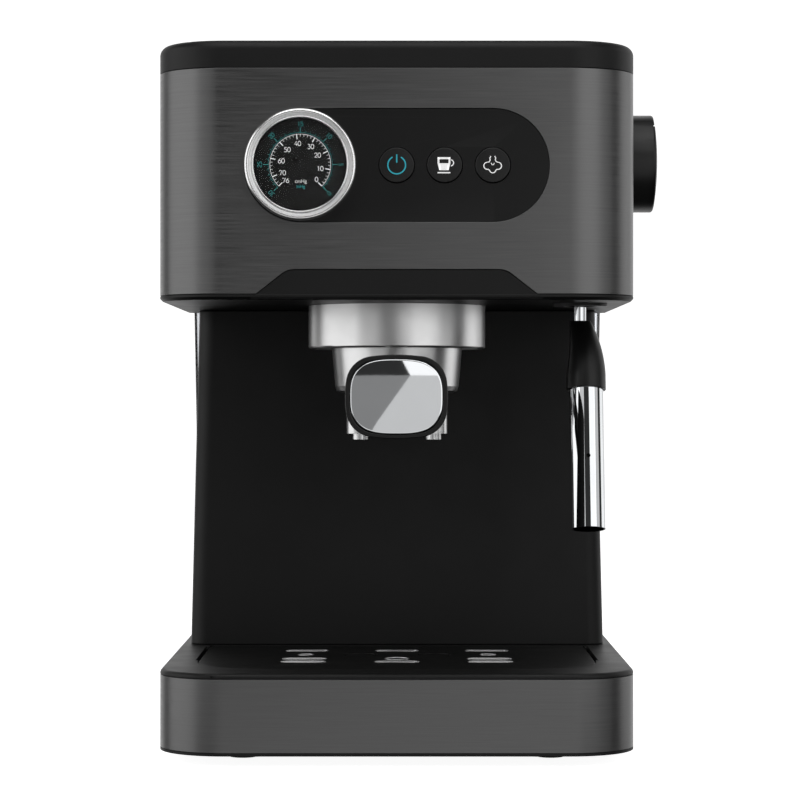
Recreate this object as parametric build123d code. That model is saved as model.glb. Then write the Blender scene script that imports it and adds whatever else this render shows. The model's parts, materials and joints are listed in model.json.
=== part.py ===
from build123d import *

import os
from math import cos, radians, sin

# Pump espresso machine with a pressure gauge, three push buttons, a side steam knob, a
# frothing wand, a locking portafilter, a lift-out drip tray and a rear water tank.
#
# Every piece is modelled in machine axes, in millimetres: X to the right, Y from the front
# face towards the back, Z up from the counter. save() moves it so that the origin is the
# centre of the whole footprint on the counter.

# ---------------------------------------------------------------- driving dimensions
WIDTH = 205.0  # head and base, side to side
DEPTH = 256.0  # base, front to back
CORNER_R = 29.0  # front corners of head and base, in plan
REAR_R = 8.0
BAND = 1.0  # thickness of the brushed steel bands
WALL = 2.4  # plastic casings
GAP = 0.1  # between a band and the casing behind it

FOOT_H = 4.7
FOOT_R = 7.0
FOOT_X = (-67.0, 67.0)
FOOT_Y = (38.0, 226.0)
BASE_PLATE_TOP = 5.9
BASE_BAND_Z = (6.0, 37.2)
DECK_Z = 39.7  # top of the base
COLUMN_Y = 137.0  # front of the column, and the back of the drip tray
COLUMN_BACK_Y = 181.0  # back of the column and of the head
COLUMN_HALF_BOTTOM = 98.0
COLUMN_HALF_TOP = 94.0
REAR_BLOCK_HALF = 97.0  # pump bay under the tank
REAR_BLOCK_Y = DEPTH - 2  # its back face
TANK_FRONT_Y = COLUMN_BACK_Y + 4.2
TANK_FLOOR_Z = 100.0
TANK_TOP_Z = 300.0
TANK_HALF = (98.2, 101.9)  # half its width at the floor and at the top
TANK_BACK_Y = (REAR_BLOCK_Y - 2, REAR_BLOCK_Y)
TANK_WALL = 2.2

HEAD_Z = 198.05  # underside of the head
HEAD_BAND_Z = (200.55, 296.2)
TOP_Z = 308.2

PANEL_Z = 255.0  # height of the gauge, the buttons and the pill-shaped panel
PANEL_END_X = 40.7  # centre of each round end of the panel
PANEL_R = 24.0
GAUGE_X = -PANEL_END_X
BUTTON_X = {"power": 0.0, "coffee": 20.3, "steam": 40.7}
BUTTON_R = 7.45
BUTTON_TRAVEL = 1.0

CHIN_TOP_Z = 210.7
CHIN_HALF_BOTTOM = 59.5
CHIN_HALF_TOP = 46.0

GROUP_Y = 80.0  # vertical axis of the brewing group
COLLAR_R = 39.9
COLLAR_Z = 178.7
BOWL_R = 29.35
BOWL_FLOOR_Z = 158.8
BASKET_R = 25.5
LEDGE_Z = (181.0, 183.6)
LUG_Z = (184.1, 187.1)
UNLOCK_DEG = 45.0  # the handle turns this far to the left to unlock

HANDLE_END_Y = -75.0
HANDLE_END_Z = 156.9
CAP_SIZE = (36.7, 29.6)
CAP_BULGE = 1.0
CAP_DOME_R = 168.0

KNOB_Y, KNOB_Z = 72.0, 261.6
KNOB_R = 21.75
KNOB_BACK_X = 103.2
KNOB_FACE_X = 116.5
KNOB_DOME_R = 124.5
SPINDLE_R = 3.0

BALL = (80.6, 47.0, 201.8)  # centre of the wand's ball joint
BALL_R = 5.6
PIPE_R = 2.7
WAND_TILT = 12.5  # the frother leans forward by this much
WAND_TOP = (82.8, 38.5, 161.5)  # top of the frother sleeve, on its axis
SLEEVE_LENGTH = 63.2
SLEEVE_R = 7.5

DOCK = (30.0, 224.0)  # axis of the tank's outlet
LID_BACK_Y = REAR_BLOCK_Y + 1
HINGE_Y, HINGE_Z = LID_BACK_Y + 2.2, 299.2  # axis of the tank lid's hinge
HINGE_R = 2.2

# The origin of the finished part, in machine axes.
ORIGIN_X = (KNOB_FACE_X - WIDTH / 2) / 2
ORIGIN_Y = (HINGE_Y + HINGE_R + HANDLE_END_Y - CAP_BULGE) / 2

FINE_HOLE_R = 0.8


# ---------------------------------------------------------------- shared shapes
def box(x0, x1, y0, y1, z0, z1):
    return Pos((x0 + x1) / 2, (y0 + y1) / 2, (z0 + z1) / 2) * Box(x1 - x0, y1 - y0, z1 - z0)


def post(x, y, z0, z1, radius):
    """Upright cylinder."""
    return Pos(x, y, (z0 + z1) / 2) * Cylinder(radius, z1 - z0)


def rod_x(y, z, x0, x1, radius):
    return Pos((x0 + x1) / 2, y, z) * Rot(Y=90) * Cylinder(radius, x1 - x0)


def rod_y(x, z, y0, y1, radius):
    return Pos(x, (y0 + y1) / 2, z) * Rot(X=90) * Cylinder(radius, y1 - y0)


def plan(width, front, back, front_r, back_r):
    """Footprint, centred on X, with its own radius on the front and on the back corners."""
    outline = Pos(0, (front + back) / 2) * Rectangle(width, back - front)
    if front_r:
        outline = fillet(outline.vertices().sort_by(Axis.Y)[:2], front_r)
    if back_r:
        outline = fillet(outline.vertices().sort_by(Axis.Y)[-2:], back_r)
    return outline


def block(outline, z0, z1):
    return extrude(Pos(0, 0, z0) * outline, z1 - z0)


def taper(low, z0, high, z1):
    """Straight-sided solid between two outlines."""
    return loft([Pos(0, 0, z0) * low, Pos(0, 0, z1) * high], ruled=True)


def pill(x0, x1, z, radius, y0, y1):
    """Stadium-shaped plate that faces the front."""
    ends = rod_y(x0, z, y0, y1, radius) + rod_y(x1, z, y0, y1, radius)
    return ends + box(x0, x1, y0, y1, z - radius, z + radius)


def facing_front(outline, y0, y1):
    """Extrudes an outline drawn in X and Z from y0 back to y1."""
    return extrude(Plane.XZ.offset(-y0) * outline, -(y1 - y0))


def turned(points, x=0.0, y=GROUP_Y):
    """Solid of revolution about an upright axis, from (radius, z) points."""
    outline = Plane.XZ * make_face(Polyline(*points, close=True))
    return Pos(x, y, 0) * revolve(outline, Axis.Z)


def tube(points, bends, outer, inner=0.0):
    """Round pipe along straight runs joined by arcs."""
    if len(points) == 2:
        path = Line(*points)
    else:
        path = FilletPolyline(*points, radius=bends)
    start = Plane(origin=path @ 0, z_dir=path % 0)
    pipe = sweep(start * Circle(outer), path=path)
    if inner:
        pipe -= sweep(start * Circle(inner), path=path)
    return pipe


def ring_of(count, radius, maker, x=0.0, y=GROUP_Y, first=0.0):
    """Copies made by maker(x, y), evenly spaced on a circle."""
    turns = [radians(first + 360 * i / count) for i in range(count)]
    return [maker(x + radius * cos(a), y + radius * sin(a)) for a in turns]


def sector(inner, outer, z0, z1, middle, spread):
    """Piece of a ring about the group axis, spread degrees wide."""
    ring = post(0, GROUP_Y, z0, z1, outer) - post(0, GROUP_Y, z0 - 1, z1 + 1, inner)
    reach = outer * 2
    half = spread / 2
    corners = [(0, 0)] + [
        (reach * cos(radians(middle + a)), reach * sin(radians(middle + a)))
        for a in (-half, half)
    ]
    wedge = Pos(0, GROUP_Y) * make_face(Polyline(*corners, close=True))
    return ring & block(wedge, z0, z1)


# ---------------------------------------------------------------- base
SCREW_SPOTS = [(x, y) for x in (-80, 80) for y in (150, 236)] + [(-60, 14), (60, 14)]
TRAY_HALF, TRAY_FRONT, TRAY_BACK, TRAY_CORNER = 87.8, 22.8, 135.0, 32.0
SLOT_Y = (60, 130)  # finger slots beside the tray


def base_shell():
    inset = BAND + GAP
    skirt = plan(WIDTH - 2 * inset, inset, DEPTH - 0.2, CORNER_R - inset, REAR_R)
    rim = block(plan(WIDTH, 0, DEPTH, CORNER_R, REAR_R), BASE_BAND_Z[1] + 0.3, DECK_Z)
    rim = fillet(rim.faces().sort_by(Axis.Z)[-1].edges(), 1.8)
    shell = block(skirt, BASE_PLATE_TOP + 0.1, BASE_BAND_Z[1] + 0.4) + rim
    inside = inset + WALL
    cavity = plan(WIDTH - 2 * inside, inside, DEPTH - inside, CORNER_R - inside, REAR_R - 2)
    shell -= block(cavity, 0, DECK_Z - 2.8)
    room = 0.5
    well = plan(2 * (TRAY_HALF + room), TRAY_FRONT - room, TRAY_BACK + room, TRAY_CORNER, 3)
    around = plan(
        2 * (TRAY_HALF + room + 2),
        TRAY_FRONT - room - 2,
        TRAY_BACK + room + 1.2,
        TRAY_CORNER + 2,
        3,
    )
    shell += block(around, BASE_PLATE_TOP + 0.1, DECK_Z - 2.5)
    shell -= block(well, 9.0, DECK_Z + 5)
    for side in (-1, 1):
        edge = side * (TRAY_HALF + room)
        shell -= box(min(edge, edge + side * 1.4), max(edge, edge + side * 1.4), *SLOT_Y, 26, 60)
    for x, y in SCREW_SPOTS:
        shell += post(x, y, BASE_PLATE_TOP + 0.1, DECK_Z - 2.5, 4)
        shell -= post(x, y, 0, 20, 1.45)
    return shell


def base_band():
    outer = plan(WIDTH, 0, DEPTH - 2, CORNER_R, 0)
    inner = plan(WIDTH - 2 * BAND, BAND, DEPTH + 5, CORNER_R - BAND, 0)
    return block(outer, *BASE_BAND_Z) - block(inner, 0, 60)


def base_plate():
    plate = block(plan(WIDTH, 0, DEPTH, CORNER_R, REAR_R), FOOT_H, BASE_PLATE_TOP)
    for x, y in SCREW_SPOTS:
        plate -= post(x, y, 0, 10, 1.6)
    for i in range(9):
        plate -= box(-36 + 9 * i - 1.5, -36 + 9 * i + 1.5, 185, 222, 0, 10)
    return plate


def feet():
    foot = post(0, 0, 0, FOOT_H, FOOT_R)
    foot = chamfer(foot.edges().sort_by(Axis.Z)[:1], 0.8)
    return [Pos(x, y) * foot for x in FOOT_X for y in FOOT_Y]


def case_screw():
    head = fillet(post(0, 0, 0, 1.6, 2.9).edges().sort_by(Axis.Z)[:1], 0.8)
    cross = box(-1.8, 1.8, -0.35, 0.35, -1, 0.8) + box(-0.35, 0.35, -1.8, 1.8, -1, 0.8)
    return (head - cross) + post(0, 0, 1.5, 12, 1.4)


def case_screws():
    up = [Pos(x, y, FOOT_H - 1.6) * case_screw() for x, y in SCREW_SPOTS]
    inward = [
        Pos(x, REAR_BLOCK_Y + 1.6, z) * Rot(X=90) * case_screw() for x, z in REAR_SCREW_SPOTS
    ]
    return up + inward


def drip_tray():
    tray = block(plan(2 * 87.6, 23, 134.8, 31.8, 2.6), 10, 38.1)
    tray -= block(plan(2 * 85.6, 25, 132.8, 29.8, 2), 12, 50)
    return fillet(tray.faces().sort_by(Axis.Z)[0].edges(), 1.5)


def drip_grid():
    outline = plan(2 * TRAY_HALF, TRAY_FRONT, TRAY_BACK, TRAY_CORNER, 2.5)
    grid = block(outline, 38.2, 39.4)
    lip = block(plan(2 * 85.2, 25.4, 132.4, 29.4, 2), 37.3, 38.4)
    lip -= block(plan(2 * 84, 26.6, 131.2, 28.2, 1.5), 30, 50)
    grid += lip
    slot = SlotOverall(19.6, 5.0)
    for x in (-41.5, 0, 41.5):
        for y in (57.5, 71.5, 110.5):
            if (x, y) != (0, 71.5):
                grid -= block(Pos(x, y) * slot, 30, 50)
    for x, y, radius in ((-41.5, 91, 3.5), (41.5, 91, 3.5), (0, 72, 5.4)):
        grid -= post(x, y, 30, 50, radius)
    for x in (-16.7, 16.7):
        grid -= post(x, 91, 30, 50, 7.8) - post(x, 89, 30, 50, 6.6)
    return grid


# ---------------------------------------------------------------- column and back
REAR_SCREW_SPOTS = [(x, z) for x in (-74, 74) for z in (50, 88)]
GLAND = (50.0, 62.0)  # X and Z of the mains lead's bush


def column_shell():
    low = plan(2 * COLUMN_HALF_BOTTOM, COLUMN_Y, COLUMN_BACK_Y, 8, 0)
    high = plan(2 * COLUMN_HALF_TOP, COLUMN_Y, COLUMN_BACK_Y, 8, 0)
    outer = taper(low, DECK_Z + 0.05, high, HEAD_Z - 0.05)
    back = COLUMN_BACK_Y + 1
    inner_low = plan(2 * COLUMN_HALF_BOTTOM - 2 * WALL, COLUMN_Y + WALL, back, 6, 0)
    inner_high = plan(2 * COLUMN_HALF_TOP - 2 * WALL, COLUMN_Y + WALL, back, 6, 0)
    return outer - taper(inner_low, DECK_Z, inner_high, HEAD_Z)


def rear_housing():
    """Pump bay behind the column, and the wall that the tank stands against."""
    top = TANK_FLOOR_Z - 2
    outer = plan(2 * REAR_BLOCK_HALF, COLUMN_BACK_Y + 0.2, REAR_BLOCK_Y, 0, 14)
    inner = plan(
        2 * (REAR_BLOCK_HALF - WALL), COLUMN_BACK_Y - 5, REAR_BLOCK_Y - WALL, 0, 12
    )
    bay = block(outer, DECK_Z + 0.05, top) - block(inner, 0, top - 2.5)
    bay -= box(-80, 80, REAR_BLOCK_Y - 18, REAR_BLOCK_Y + 9, 45, 93)
    bay -= post(*DOCK, 80, 120, 13)
    seat = REAR_BLOCK_Y - WALL + 0.05
    bay += box(-84, 84, seat - 3, seat, 41.5, 96)
    bay -= box(-68, 68, seat - 9, seat + 1, 49, 89)
    for x, z in REAR_SCREW_SPOTS:
        bay += rod_y(x, z, seat - 14, seat - 1, 4)
        bay -= rod_y(x, z, seat - 16, seat + 9, 1.45)
    face = COLUMN_BACK_Y + 0.2
    wall = box(-92.5, 92.5, face, face + 2, top - 2.5, HEAD_Z - 0.1)
    ribs = [box(x - 1, x + 1, face - 5, face + 0.1, 120, 190) for x in (-60, 60)]
    return bay + wall + ribs


def rear_panel():
    panel = box(-79.7, 79.7, REAR_BLOCK_Y - WALL + 0.1, REAR_BLOCK_Y - 0.1, 45.3, 92.7)
    near, far = REAR_BLOCK_Y - 9, REAR_BLOCK_Y + 9
    for x, z in REAR_SCREW_SPOTS:
        panel -= rod_y(x, z, near, far, 1.6)
    for row in range(4):
        for x in (-40, 0):
            panel -= box(x - 16, x + 16, near, far, 56 + 8 * row, 59 + 8 * row)
    return panel - rod_y(*GLAND, near, far, 7.1)


def cord_gland():
    """Rubber bush that the mains lead would leave by."""
    inner = REAR_BLOCK_Y - 6
    gland = rod_y(*GLAND, inner, REAR_BLOCK_Y + 4, 7)
    gland += rod_y(*GLAND, REAR_BLOCK_Y, REAR_BLOCK_Y + 2.5, 9.5)
    gland += rod_y(*GLAND, inner, REAR_BLOCK_Y - WALL - 0.1, 8.6)
    return gland - rod_y(*GLAND, inner - 9, REAR_BLOCK_Y + 9, 3.6)


# ---------------------------------------------------------------- tank
TANK_EARS = (-67.0, 63.0)  # where each ear starts in X
LID_KNUCKLES = (-62.6, 67.4)  # beside the ears, 0.4 mm away


def tank_outline(level, inset=0.0):
    """Outline at the floor (level 0) or at the top (level 1)."""
    half, back = TANK_HALF[level] - inset, TANK_BACK_Y[level] - inset
    return plan(2 * half, TANK_FRONT_Y + inset, back, 6 - inset, 18 - inset)


def hinge_bore(x0, x1):
    return rod_x(HINGE_Y, HINGE_Z, x0, x1, 1.15)


def tank_body():
    tank = taper(tank_outline(0), TANK_FLOOR_Z, tank_outline(1), TANK_TOP_Z)
    low, high = tank_outline(0, TANK_WALL), tank_outline(1, TANK_WALL)
    tank -= taper(low, TANK_FLOOR_Z + 2.6, high, TANK_TOP_Z + 0.01)
    for x in TANK_EARS:
        tank += rod_x(HINGE_Y, HINGE_Z, x, x + 4, HINGE_R)
        tank += box(x, x + 4, TANK_BACK_Y[1] - 2.1, HINGE_Y, 294, HINGE_Z + 1)
        tank -= hinge_bore(x - 1, x + 5)
    tank += post(*DOCK, 89, TANK_FLOOR_Z + 1, 8.6)
    return tank - post(*DOCK, 80, 120, 5.0)


def tank_lid():
    """Cap with a rounded top edge and a finger hollow, hinged at the back."""
    outer = plan(204.6, COLUMN_BACK_Y + 0.6, LID_BACK_Y, 5, 18)
    lid = block(outer, TANK_TOP_Z + 0.3, TOP_Z)
    lid = fillet(lid.faces().sort_by(Axis.Z)[-1].edges(), 3.0)
    hollow = plan(197, COLUMN_BACK_Y + 4, LID_BACK_Y - 3.5, 4, 15)
    lid -= block(hollow, TANK_TOP_Z, TOP_Z - 2.6)
    lid -= rod_x(COLUMN_BACK_Y + 11, TOP_Z + 9, -23, 23, 11)
    for x in LID_KNUCKLES:
        lid += rod_x(HINGE_Y, HINGE_Z, x, x + 4, HINGE_R)
        lid += box(x, x + 4, LID_BACK_Y - 0.8, HINGE_Y + 0.8, HINGE_Z + 0.8, HINGE_Z + 5.5)
        lid -= hinge_bore(x - 1, x + 5)
    return lid


def lid_hinge_pins():
    return [rod_x(HINGE_Y, HINGE_Z, x, x + 8.4, 1.1) for x in TANK_EARS]


def tank_poppet():
    """Valve plunger in the tank's outlet, held open by the dock's pin."""
    head = post(*DOCK, TANK_FLOOR_Z + 3, TANK_FLOOR_Z + 5, 7)
    stem = post(*DOCK, 93.2, TANK_FLOOR_Z + 3, 1.6)
    guide = [box(DOCK[0] - 4.8, DOCK[0] + 4.8, DOCK[1] - 0.5, DOCK[1] + 0.5, 96, 99)]
    guide.append(box(DOCK[0] - 0.5, DOCK[0] + 0.5, DOCK[1] - 4.8, DOCK[1] + 4.8, 96, 99))
    return head + stem + guide


def tank_dock():
    """Cup that takes the tank's outlet, with the pin that lifts the poppet."""
    cup = post(*DOCK, 82, 95.3, 12.6) + post(*DOCK, 93.4, 95.3, 16)
    cup -= post(*DOCK, 84.5, 100, 10.8)
    cup += post(*DOCK, 83, 93, 1.2) + post(*DOCK, 70, 83, 4)
    return cup - post(DOCK[0], DOCK[1] + 2.4, 78, 90, 1.0) - post(*DOCK, 60, 81, 2.2)


def dock_seal():
    """Rubber ring round the tank's spigot."""
    return post(*DOCK, 89.5, 92.3, 10.75) - post(*DOCK, 80, 100, 8.75)


# ---------------------------------------------------------------- head
def chin_outline(grow=0.0):
    """Trapezoid under the steel band, with rounded upper corners."""
    low = HEAD_Z + 0.5
    top = CHIN_TOP_Z + grow
    corners = [
        (-CHIN_HALF_BOTTOM - grow - 2.4, low),
        (-CHIN_HALF_TOP - grow, top),
        (CHIN_HALF_TOP + grow, top),
        (CHIN_HALF_BOTTOM + grow + 2.4, low),
    ]
    outline = make_face(Polyline(*corners, close=True))
    return fillet(outline.vertices().sort_by(Axis.Y)[-2:], 9)


def head_shell():
    inset = BAND + GAP
    outer = plan(WIDTH - 2 * inset, inset, COLUMN_BACK_Y - 0.5, CORNER_R - inset, 5)
    lip = block(plan(WIDTH, 0, COLUMN_BACK_Y, CORNER_R, 5), HEAD_Z, HEAD_BAND_Z[0] - 0.25)
    lip = chamfer(lip.faces().sort_by(Axis.Z)[0].edges(), 1.2)
    shell = lip + block(outer, HEAD_Z + 2, HEAD_BAND_Z[1])
    inside = inset + WALL
    cavity = plan(WIDTH - 2 * inside, inside, COLUMN_BACK_Y - inside, CORNER_R - inside, 3)
    shell -= block(cavity, HEAD_Z + 3, 320)
    shell += facing_front(chin_outline(), 0.3, BAND + GAP + 0.5)
    shell -= pill(-PANEL_END_X, PANEL_END_X, PANEL_Z, PANEL_R + 0.1, -1, 3.6)
    shell -= rod_x(KNOB_Y, KNOB_Z, 90, 120, 4.2)
    shell -= post(0, GROUP_Y, 190, 210, 12.5)
    for hole in group_screw_holes(190, 210, 1.7):
        shell -= hole
    shell -= post(BALL[0], BALL[1], 190, 210, 10.2)
    shell -= box(-60, 60, 150, COLUMN_BACK_Y - 6, 190, 210)
    return shell


def head_band():
    outer = plan(WIDTH, 0, COLUMN_BACK_Y - 1, CORNER_R, 0)
    inner = plan(WIDTH - 2 * BAND, BAND, COLUMN_BACK_Y + 5, CORNER_R - BAND, 0)
    band = block(outer, *HEAD_BAND_Z) - block(inner, 190, 310)
    band -= facing_front(chin_outline(0.25), -1, 5)
    band -= pill(-PANEL_END_X, PANEL_END_X, PANEL_Z, PANEL_R + 0.1, -1, 5)
    return band - rod_x(KNOB_Y, KNOB_Z, 90, 120, 5)


def top_cover():
    cover = block(plan(WIDTH, 0, COLUMN_BACK_Y, CORNER_R, 5), HEAD_BAND_Z[1] + 0.1, TOP_Z)
    cover = fillet(cover.faces().sort_by(Axis.Z)[-1].edges(), 4)
    cover -= block(plan(WIDTH - 7, 3.5, COLUMN_BACK_Y - 3.5, CORNER_R - 3.5, 3), 290, 302)
    cover -= block(plan(WIDTH - 22, 11, COLUMN_BACK_Y - 9, CORNER_R - 11, 6), 304.6, 320)
    return cover


def cup_warmer_plate():
    plate = block(
        plan(WIDTH - 22.6, 11.3, COLUMN_BACK_Y - 9.3, CORNER_R - 11.3, 5.7), 304.65, 305.85
    )
    slot = SlotOverall(26, 3.2, rotation=90)
    for i in range(9):
        for y in (55, 103, 151):
            plate -= block(Pos(-72 + 18 * i, y) * slot, 300, 310)
    return plate


def control_panel():
    panel = pill(-PANEL_END_X, PANEL_END_X, PANEL_Z, PANEL_R, 0.4, 3.8)
    panel += pill(-PANEL_END_X, PANEL_END_X, PANEL_Z, PANEL_R + 2.2, 3.65, 5.2)
    panel -= rod_y(GAUGE_X, PANEL_Z, -1, 10, 20.5)
    for x in BUTTON_X.values():
        panel -= rod_y(x, PANEL_Z, -1, 10, BUTTON_R + 0.2)
    return panel


def button(x):
    """Push button with a retaining flange and the stem that works its switch."""
    cap = rod_y(x, PANEL_Z, -0.3, 5.6, BUTTON_R)
    cap = fillet(cap.edges().sort_by(Axis.Y)[:1], 0.5)
    return cap + rod_y(x, PANEL_Z, 5.3, 6.5, 9.0) + rod_y(x, PANEL_Z, 6.4, 9.5, 2)


def control_board():
    board = box(-19.5, 54, 16, 17.6, 234, 276)
    for x in BUTTON_X.values():
        board += box(x - 3, x + 3, 12, 16.1, PANEL_Z - 3, PANEL_Z + 3)
        board += rod_y(x, PANEL_Z, 10.8, 12.1, 1.7)
    board += box(-16, -4, 17.5, 28, 262, 272)
    board += box(10, 26, 17.5, 30, 238, 250)
    board += [rod_y(x, 268, 17.5, 27, 4) for x in (32, 44)]
    for x in (-16, 50.5):
        board -= rod_y(x, 237.5, 10, 20, 1.6)
    return board


# ---------------------------------------------------------------- pressure gauge
def gauge_bezel():
    """Ring with a rounded outer shoulder, a sloping face and a thin inner bead."""
    profile = [
        (20.45, 0.35), (23.65, 0.35), (23.65, -4.2), (23.2, -5.2), (22.3, -5.7),
        (20.4, -4.9), (20.3, -5.2), (19.7, -5.2), (19.6, -4.8), (19.6, -2.6), (20.45, -2.6),
    ]
    outline = make_face(Polyline(*profile, close=True))
    return Pos(GAUGE_X, 0, PANEL_Z) * revolve(outline, Axis.Y)


def gauge_case():
    case = rod_y(GAUGE_X, PANEL_Z, -1.85, 24, 20.2)
    case -= rod_y(GAUGE_X, PANEL_Z, -0.6, 22.5, 19.0)
    case -= rod_y(GAUGE_X, PANEL_Z, -5, 5, 1.0)
    case += rod_y(GAUGE_X, PANEL_Z, 23.5, 34, 3.5)
    return case - rod_y(GAUGE_X, PANEL_Z, 20, 40, 1.3)


def gauge_dial():
    dial = rod_y(GAUGE_X, PANEL_Z, -2.5, -1.9, 20.2)
    return dial - rod_y(GAUGE_X, PANEL_Z, -5, 5, 1.0)


def gauge_glass():
    return rod_y(GAUGE_X, PANEL_Z, -4.5, -3.6, 19.5)


def gauge_needle():
    """Pointer with its counterweight tail, hub and arbor. At rest it points at zero."""
    tail, tip = (-4, 0.8), (7.6, 0.25)
    corners = [(tail[0], -tail[1]), tail, tip, (tip[0], -tip[1])]
    blade = make_face(Polyline(*corners, close=True))
    pointer = facing_front(Rot(Z=-45) * blade, -3.1, -2.8)
    pointer += rod_y(0, 0, -3.4, -2.65, 1.9)
    pointer += rod_y(0, 0, -2.8, 8, 0.8)
    return Pos(GAUGE_X, 0, PANEL_Z) * pointer


# ---------------------------------------------------------------- boiler and group
BOILER_SCREW_RING = 37.5  # radius of the circle of screws that clamps the two castings
GROUP_SCREW_RING = 32.2  # and of the circle that hangs the bayonet ring from them


def flange_holes(z0, z1, radius):
    return ring_of(4, BOILER_SCREW_RING, lambda x, y: post(x, y, z0, z1, radius), first=45)


def group_screw_holes(z0, z1, radius):
    return ring_of(4, GROUP_SCREW_RING, lambda x, y: post(x, y, z0, z1, radius), first=45)


def boiler_lower():
    """Lower casting, with the neck that passes down into the group."""
    low = post(0, GROUP_Y, 201.2, 216, 34) + post(0, GROUP_Y, 211, 216, 41)
    low += post(0, GROUP_Y, 190, 202, 11.4)
    low -= post(0, GROUP_Y, 208, 220, 29)
    for hole in flange_holes(205, 220, 2.05) + group_screw_holes(195, 206.5, 1.55):
        low -= hole
    return low - post(0, GROUP_Y, 180, 203, 2.05) - post(6, GROUP_Y, 180, 210, 1.5)


def boiler_upper():
    """Upper casting with its heater terminals."""
    high = post(0, GROUP_Y, 216.2, 250, 34)
    high = fillet(high.edges().sort_by(Axis.Z)[-1:], 5)
    high += post(0, GROUP_Y, 216.2, 221, 41)
    high -= post(0, GROUP_Y, 210, 243, 29)
    for hole in flange_holes(205, 240, 2.05):
        high -= hole
    for x in (-14, 14):
        high += box(x - 3, x + 3, 49.6, 50.4, 242, 262) + post(x, 51, 240, 252, 4)
    high += post(20, 84, 248, 254, 5) + post(-20, 84, 248, 254, 5)
    for x in (-20, 20):
        high -= post(x, 84, 235, 260, 1.6)
    return high


def boiler_screws():
    """Four clamp the castings, four hang the bayonet ring and one holds the shower screen."""
    def clamp_screw(x, y):
        return post(x, y, 221.05, 225, 3.2) + post(x, y, 207, 221.2, 2.0)

    def group_screw(x, y):
        return post(x, y, 192.2, 193.95, 2.4) + post(x, y, 193.9, 206, 1.5)

    shower = post(0, GROUP_Y, 184.6, 186.55, 4.5) + post(0, GROUP_Y, 186.5, 202, 2.0)
    shower -= box(-5, 5, GROUP_Y - 0.5, GROUP_Y + 0.5, 184, 185.4)
    clamps = ring_of(4, BOILER_SCREW_RING, clamp_screw, first=45)
    return clamps + ring_of(4, GROUP_SCREW_RING, group_screw, first=45) + [shower]


def boiler_thermostat():
    body = post(0, 84, 250.05, 256, 8) + box(-12, 12, 82, 86, 250.1, 251)
    return body + [box(x - 2.2, x + 2.2, 83.6, 84.4, 255, 264) for x in (-5, 5)]


def brew_collar():
    collar = post(0, GROUP_Y, COLLAR_Z, HEAD_Z - 0.05, COLLAR_R)
    collar = fillet(collar.edges().sort_by(Axis.Z)[:1], 1.0)
    return collar - post(0, GROUP_Y, 170, 196.6, 37.2) - post(0, GROUP_Y, 170, 200, 35.6)


def group_ring():
    """Bayonet ring: three ledges, with the gaps that the lugs rise through."""
    ring = post(0, GROUP_Y, LEDGE_Z[0], 196.5, 37.1) - post(0, GROUP_Y, 170, 194, 35.0)
    ring += post(0, GROUP_Y, 194, 197.8, 35.4)
    ring -= post(0, GROUP_Y, 170, 200, 11.6)
    for k in range(3):
        ring += sector(31.2, 35.5, *LEDGE_Z, 90 + 120 * k, 120 - 36)
    for hole in group_screw_holes(180, 200, 1.6):
        ring -= hole
    return ring


def group_gasket():
    return post(0, GROUP_Y, 189.6, 193.95, 29.6) - post(0, GROUP_Y, 180, 200, 24.6)


def shower_screen():
    screen = post(0, GROUP_Y, 186.6, 193.9, 24.2) - post(0, GROUP_Y, 187.5, 200, 23.4)
    screen -= post(0, GROUP_Y, 180, 200, 2.1)
    for radius, count in ((8, 8), (13, 14), (18, 20)):
        for hole in ring_of(count, radius, lambda x, y: post(x, y, 180, 190, FINE_HOLE_R)):
            screen -= hole
    return screen


# ---------------------------------------------------------------- portafilter
NECK_Z = 168.5


def portafilter_bowl():
    outside = [
        (0, BOWL_FLOOR_Z), (24.9, BOWL_FLOOR_Z), (27.2, 159.8), (27.9, 161.8),
        (BOWL_R, COLLAR_Z), (BOWL_R, 187.9), (0, 187.9),
    ]
    bowl = turned(outside)
    inside = [(0, 161.3), (23, 161.3), (25.0, 163.5), (26.4, 174), (26.4, 190), (0, 190)]
    bowl += post(0, GROUP_Y, 153, BOWL_FLOOR_Z + 1, 8.0)
    bowl += rod_y(0, NECK_Z, 38, GROUP_Y - 24, 6.5) + rod_y(0, NECK_Z, 6, 39, 4)
    bowl -= turned(inside)
    bowl -= post(0, GROUP_Y, 150, 170, 4)
    for k in range(3):
        bowl += sector(BOWL_R - 1, 34.4, *LUG_Z, 90 + 120 * k, 28)
    return bowl


def filter_basket():
    wall = [
        (0, 167.2), (22.5, 167.2), (24.9, 169), (BASKET_R, 176), (BASKET_R, 188.0),
        (28.6, 188.0), (28.6, 189.3), (24.9, 189.3), (24.9, 176), (24.3, 169.8),
        (22.1, 167.9), (0, 167.9),
    ]
    basket = turned(wall)
    for radius, count in ((4, 6), (8, 10), (12, 16), (16, 20), (20, 26)):
        for hole in ring_of(count, radius, lambda x, y: post(x, y, 160, 170, 0.6)):
            basket -= hole
    return basket


def basket_spring():
    """Wire ring that holds the basket in the bowl."""
    ring = Pos(0, GROUP_Y, 184) * Torus(25.95, 0.4)
    return ring - box(-40, 0, GROUP_Y - 1.5, GROUP_Y + 1.5, 180, 190)


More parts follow.
